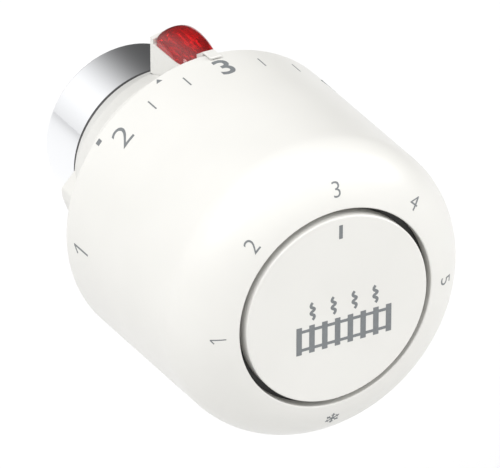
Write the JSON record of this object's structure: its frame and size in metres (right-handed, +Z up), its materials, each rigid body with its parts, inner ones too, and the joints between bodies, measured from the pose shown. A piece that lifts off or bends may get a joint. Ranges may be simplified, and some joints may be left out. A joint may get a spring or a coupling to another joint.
{
  "type": "thermostatic radiator valve head",
  "caption": "Self-acting radiator thermostat head: turning numbered handle, liquid sensor with bellows, chrome collar and click-on socket released by a red-lensed button.",
  "frame": {"origin": "centre of the round mouth that clicks onto the valve neck, at the collar's rear face", "axes": "+Z up through the red button, +Y out of the mouth towards the valve, -Y towards the front disc"},
  "size_m": [0.05, 0.0673, 0.0505],
  "materials": {
    "handle_white": "glossy moulded ABS",
    "disc_white": "glossy moulded ABS",
    "trim_dark": "dark grey moulded plastic",
    "acetal_white": "natural acetal",
    "housing_white": "glossy moulded ABS",
    "collar_chrome": "bright chrome plating",
    "insert_dark": "dark grey glass-filled nylon",
    "nylon_grey": "grey moulded nylon",
    "spring_steel": "drawn spring wire",
    "seal_rubber": "black moulded rubber",
    "button_white": "glossy moulded ABS",
    "lens_red": "clear red moulded plastic",
    "plate_steel": "punched stainless sheet",
    "can_aluminium": "drawn aluminium",
    "tube_copper": "drawn copper",
    "plate_brass": "turned brass",
    "bellows_bronze": "formed bronze sheet",
    "pin_steel": "turned stainless steel",
    "cup_brass": "turned brass",
    "limiter_steel": "zinc plated steel"
  },
  "bodies": {
    "base": {"base_housing": "housing_white", "chrome_collar": "collar_chrome", "connector_insert": "insert_dark", "guide_cage": "nylon_grey", "snap_ring": "spring_steel", "friction_ring": "seal_rubber", "button_spring": "spring_steel", "trim_ring": "trim_dark", "front_disc": "disc_white"},
    "handle": {"handle_shell": "handle_white", "drive_ring": "acetal_white"},
    "sensor": {"sensor_carrier": "nylon_grey", "sensor_can": "can_aluminium", "filling_tube": "tube_copper", "sensor_plate": "plate_brass", "spindle_bush": "acetal_white", "bellows": "bellows_bronze", "main_spring": "spring_steel"},
    "spindle": {"spindle": "pin_steel", "bellows_cap": "plate_brass", "overtravel_cup": "cup_brass", "cup_clip": "spring_steel", "overtravel_spring": "spring_steel"},
    "pressure_pin": {"pressure_pin": "pin_steel"},
    "release": {"release_button": "button_white", "button_lens": "lens_red", "lock_plate": "plate_steel"},
    "limiter_left": {"limiter_pin_left": "limiter_steel"},
    "limiter_right": {"limiter_pin_right": "limiter_steel"}
  },
  "joints": [
    {"name": "handle_turn", "type": "hinge", "parent": "base", "child": "handle", "pos_m": [0, 0, 0], "axis": [0, 1, 0], "range_deg": [-90, 180]},
    {"name": "sensor_setting", "type": "slide", "parent": "base", "child": "sensor", "axis": [0, 1, 0], "range_m": [-0.00138, 0.00275]},
    {"name": "spindle_stroke", "type": "slide", "parent": "sensor", "child": "spindle", "axis": [0, 1, 0], "range_m": [0, 0.0025], "stiffness_N_per_m": 1500, "deforming": ["bellows", "main_spring"]},
    {"name": "overtravel", "type": "slide", "parent": "spindle", "child": "pressure_pin", "axis": [0, -1, 0], "range_m": [0, 0.002], "stiffness_N_per_m": 800, "deforming": ["overtravel_spring"]},
    {"name": "release_press", "type": "slide", "parent": "base", "child": "release", "axis": [0, 0, -1], "range_m": [0, 0.002], "stiffness_N_per_m": 600, "deforming": ["button_spring"]},
    {"name": "limiter_left_pull", "type": "slide", "parent": "base", "child": "limiter_left", "axis": [0, 1, 0], "range_m": [0, 0.01]},
    {"name": "limiter_right_pull", "type": "slide", "parent": "base", "child": "limiter_right", "axis": [0, 1, 0], "range_m": [0, 0.01]}
  ],
  "couplings": [
    {"joint": "sensor_setting", "follows": "handle_turn", "m_per_rad": 0.00087535}
  ]
}
